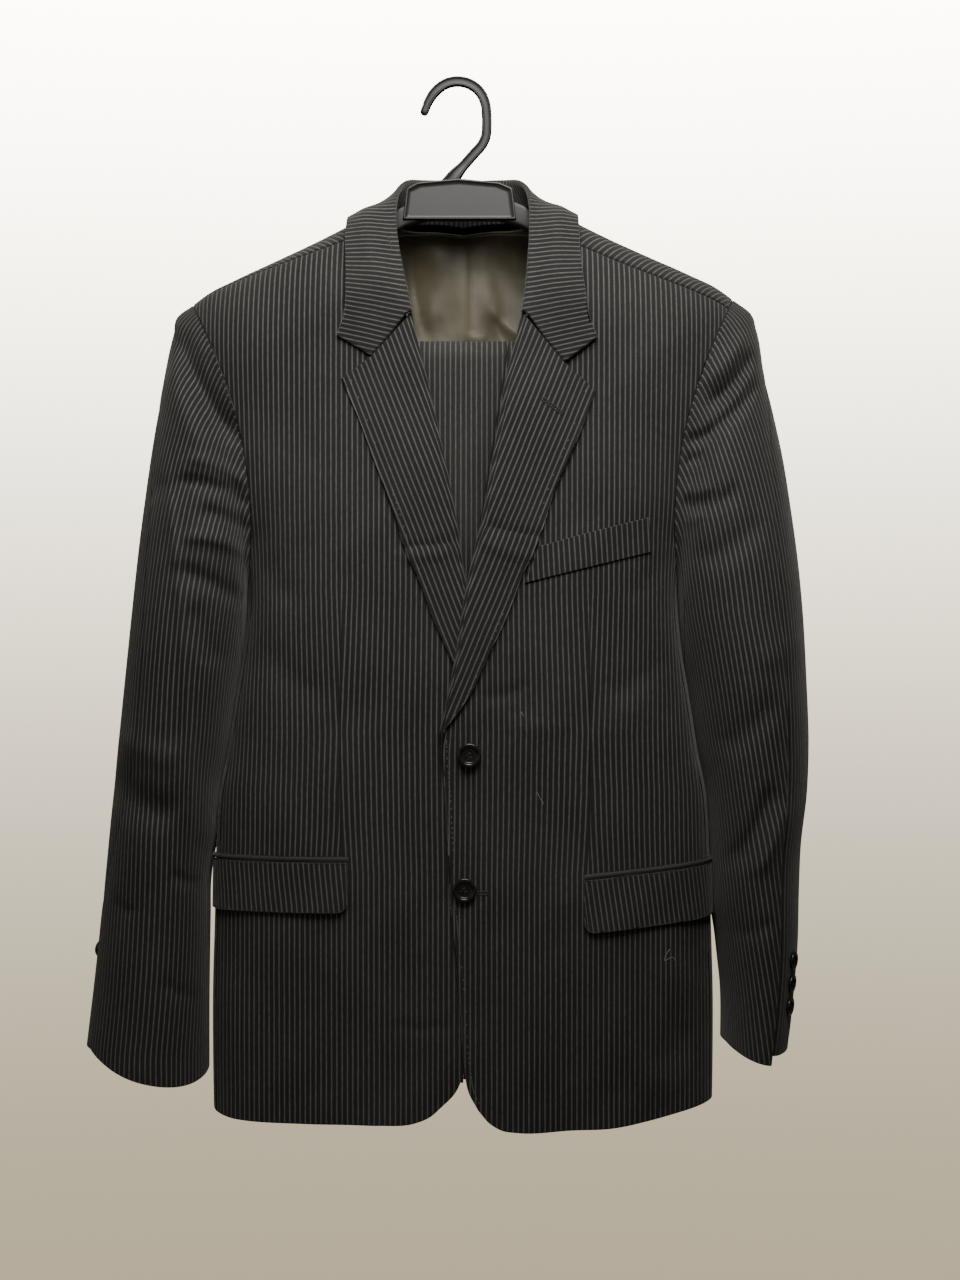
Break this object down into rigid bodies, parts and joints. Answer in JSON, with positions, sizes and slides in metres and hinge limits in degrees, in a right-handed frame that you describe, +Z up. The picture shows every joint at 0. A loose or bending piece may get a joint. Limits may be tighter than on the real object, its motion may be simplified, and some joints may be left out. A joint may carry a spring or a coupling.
{
  "type": "business suit on a hanger",
  "caption": "Single-breasted notch-lapel suit jacket hanging closed on a moulded hanger, with the suit trousers folded over the hanger bar inside it.",
  "frame": {"origin": "the inside top of the hanger's hook, where a wall pin holds it", "axes": "+Z up, the suit's front faces -Y, the wearer's left is +X"},
  "size_m": [0.6244, 0.1368, 0.9065],
  "materials": {
    "suiting": "dark charcoal worsted with fine light grey pinstripes",
    "lining": "olive satin lining with a soft sheen",
    "button": "polished black, four holes",
    "hanger_plastic": "moulded dark grey plastic, half gloss"
  },
  "bodies": {
    "root": {"back_left": "suiting", "back_lining": "lining", "back_right": "suiting", "breast_pocket_welt": "suiting", "collar": "suiting", "cuff_button_left_1": "button", "cuff_button_left_2": "button", "cuff_button_left_3": "button", "cuff_button_right_1": "button", "cuff_button_right_2": "button", "cuff_button_right_3": "button", "front_button_1": "button", "front_button_2": "button", "front_left": "suiting", "front_right": "suiting", "hanger": "hanger_plastic", "lapel_left": "suiting", "lapel_right": "suiting", "pocket_flap_left": "suiting", "pocket_flap_right": "suiting", "pocket_jetting_left": "suiting", "pocket_jetting_right": "suiting", "side_left": "suiting", "side_right": "suiting", "trouser_leg_inner": "suiting", "trouser_leg_outer": "suiting", "trouser_waistband": "suiting", "under_sleeve_left": "suiting", "under_sleeve_right": "suiting", "upper_sleeve_left": "suiting", "upper_sleeve_right": "suiting"}
  },
  "joints": []
}
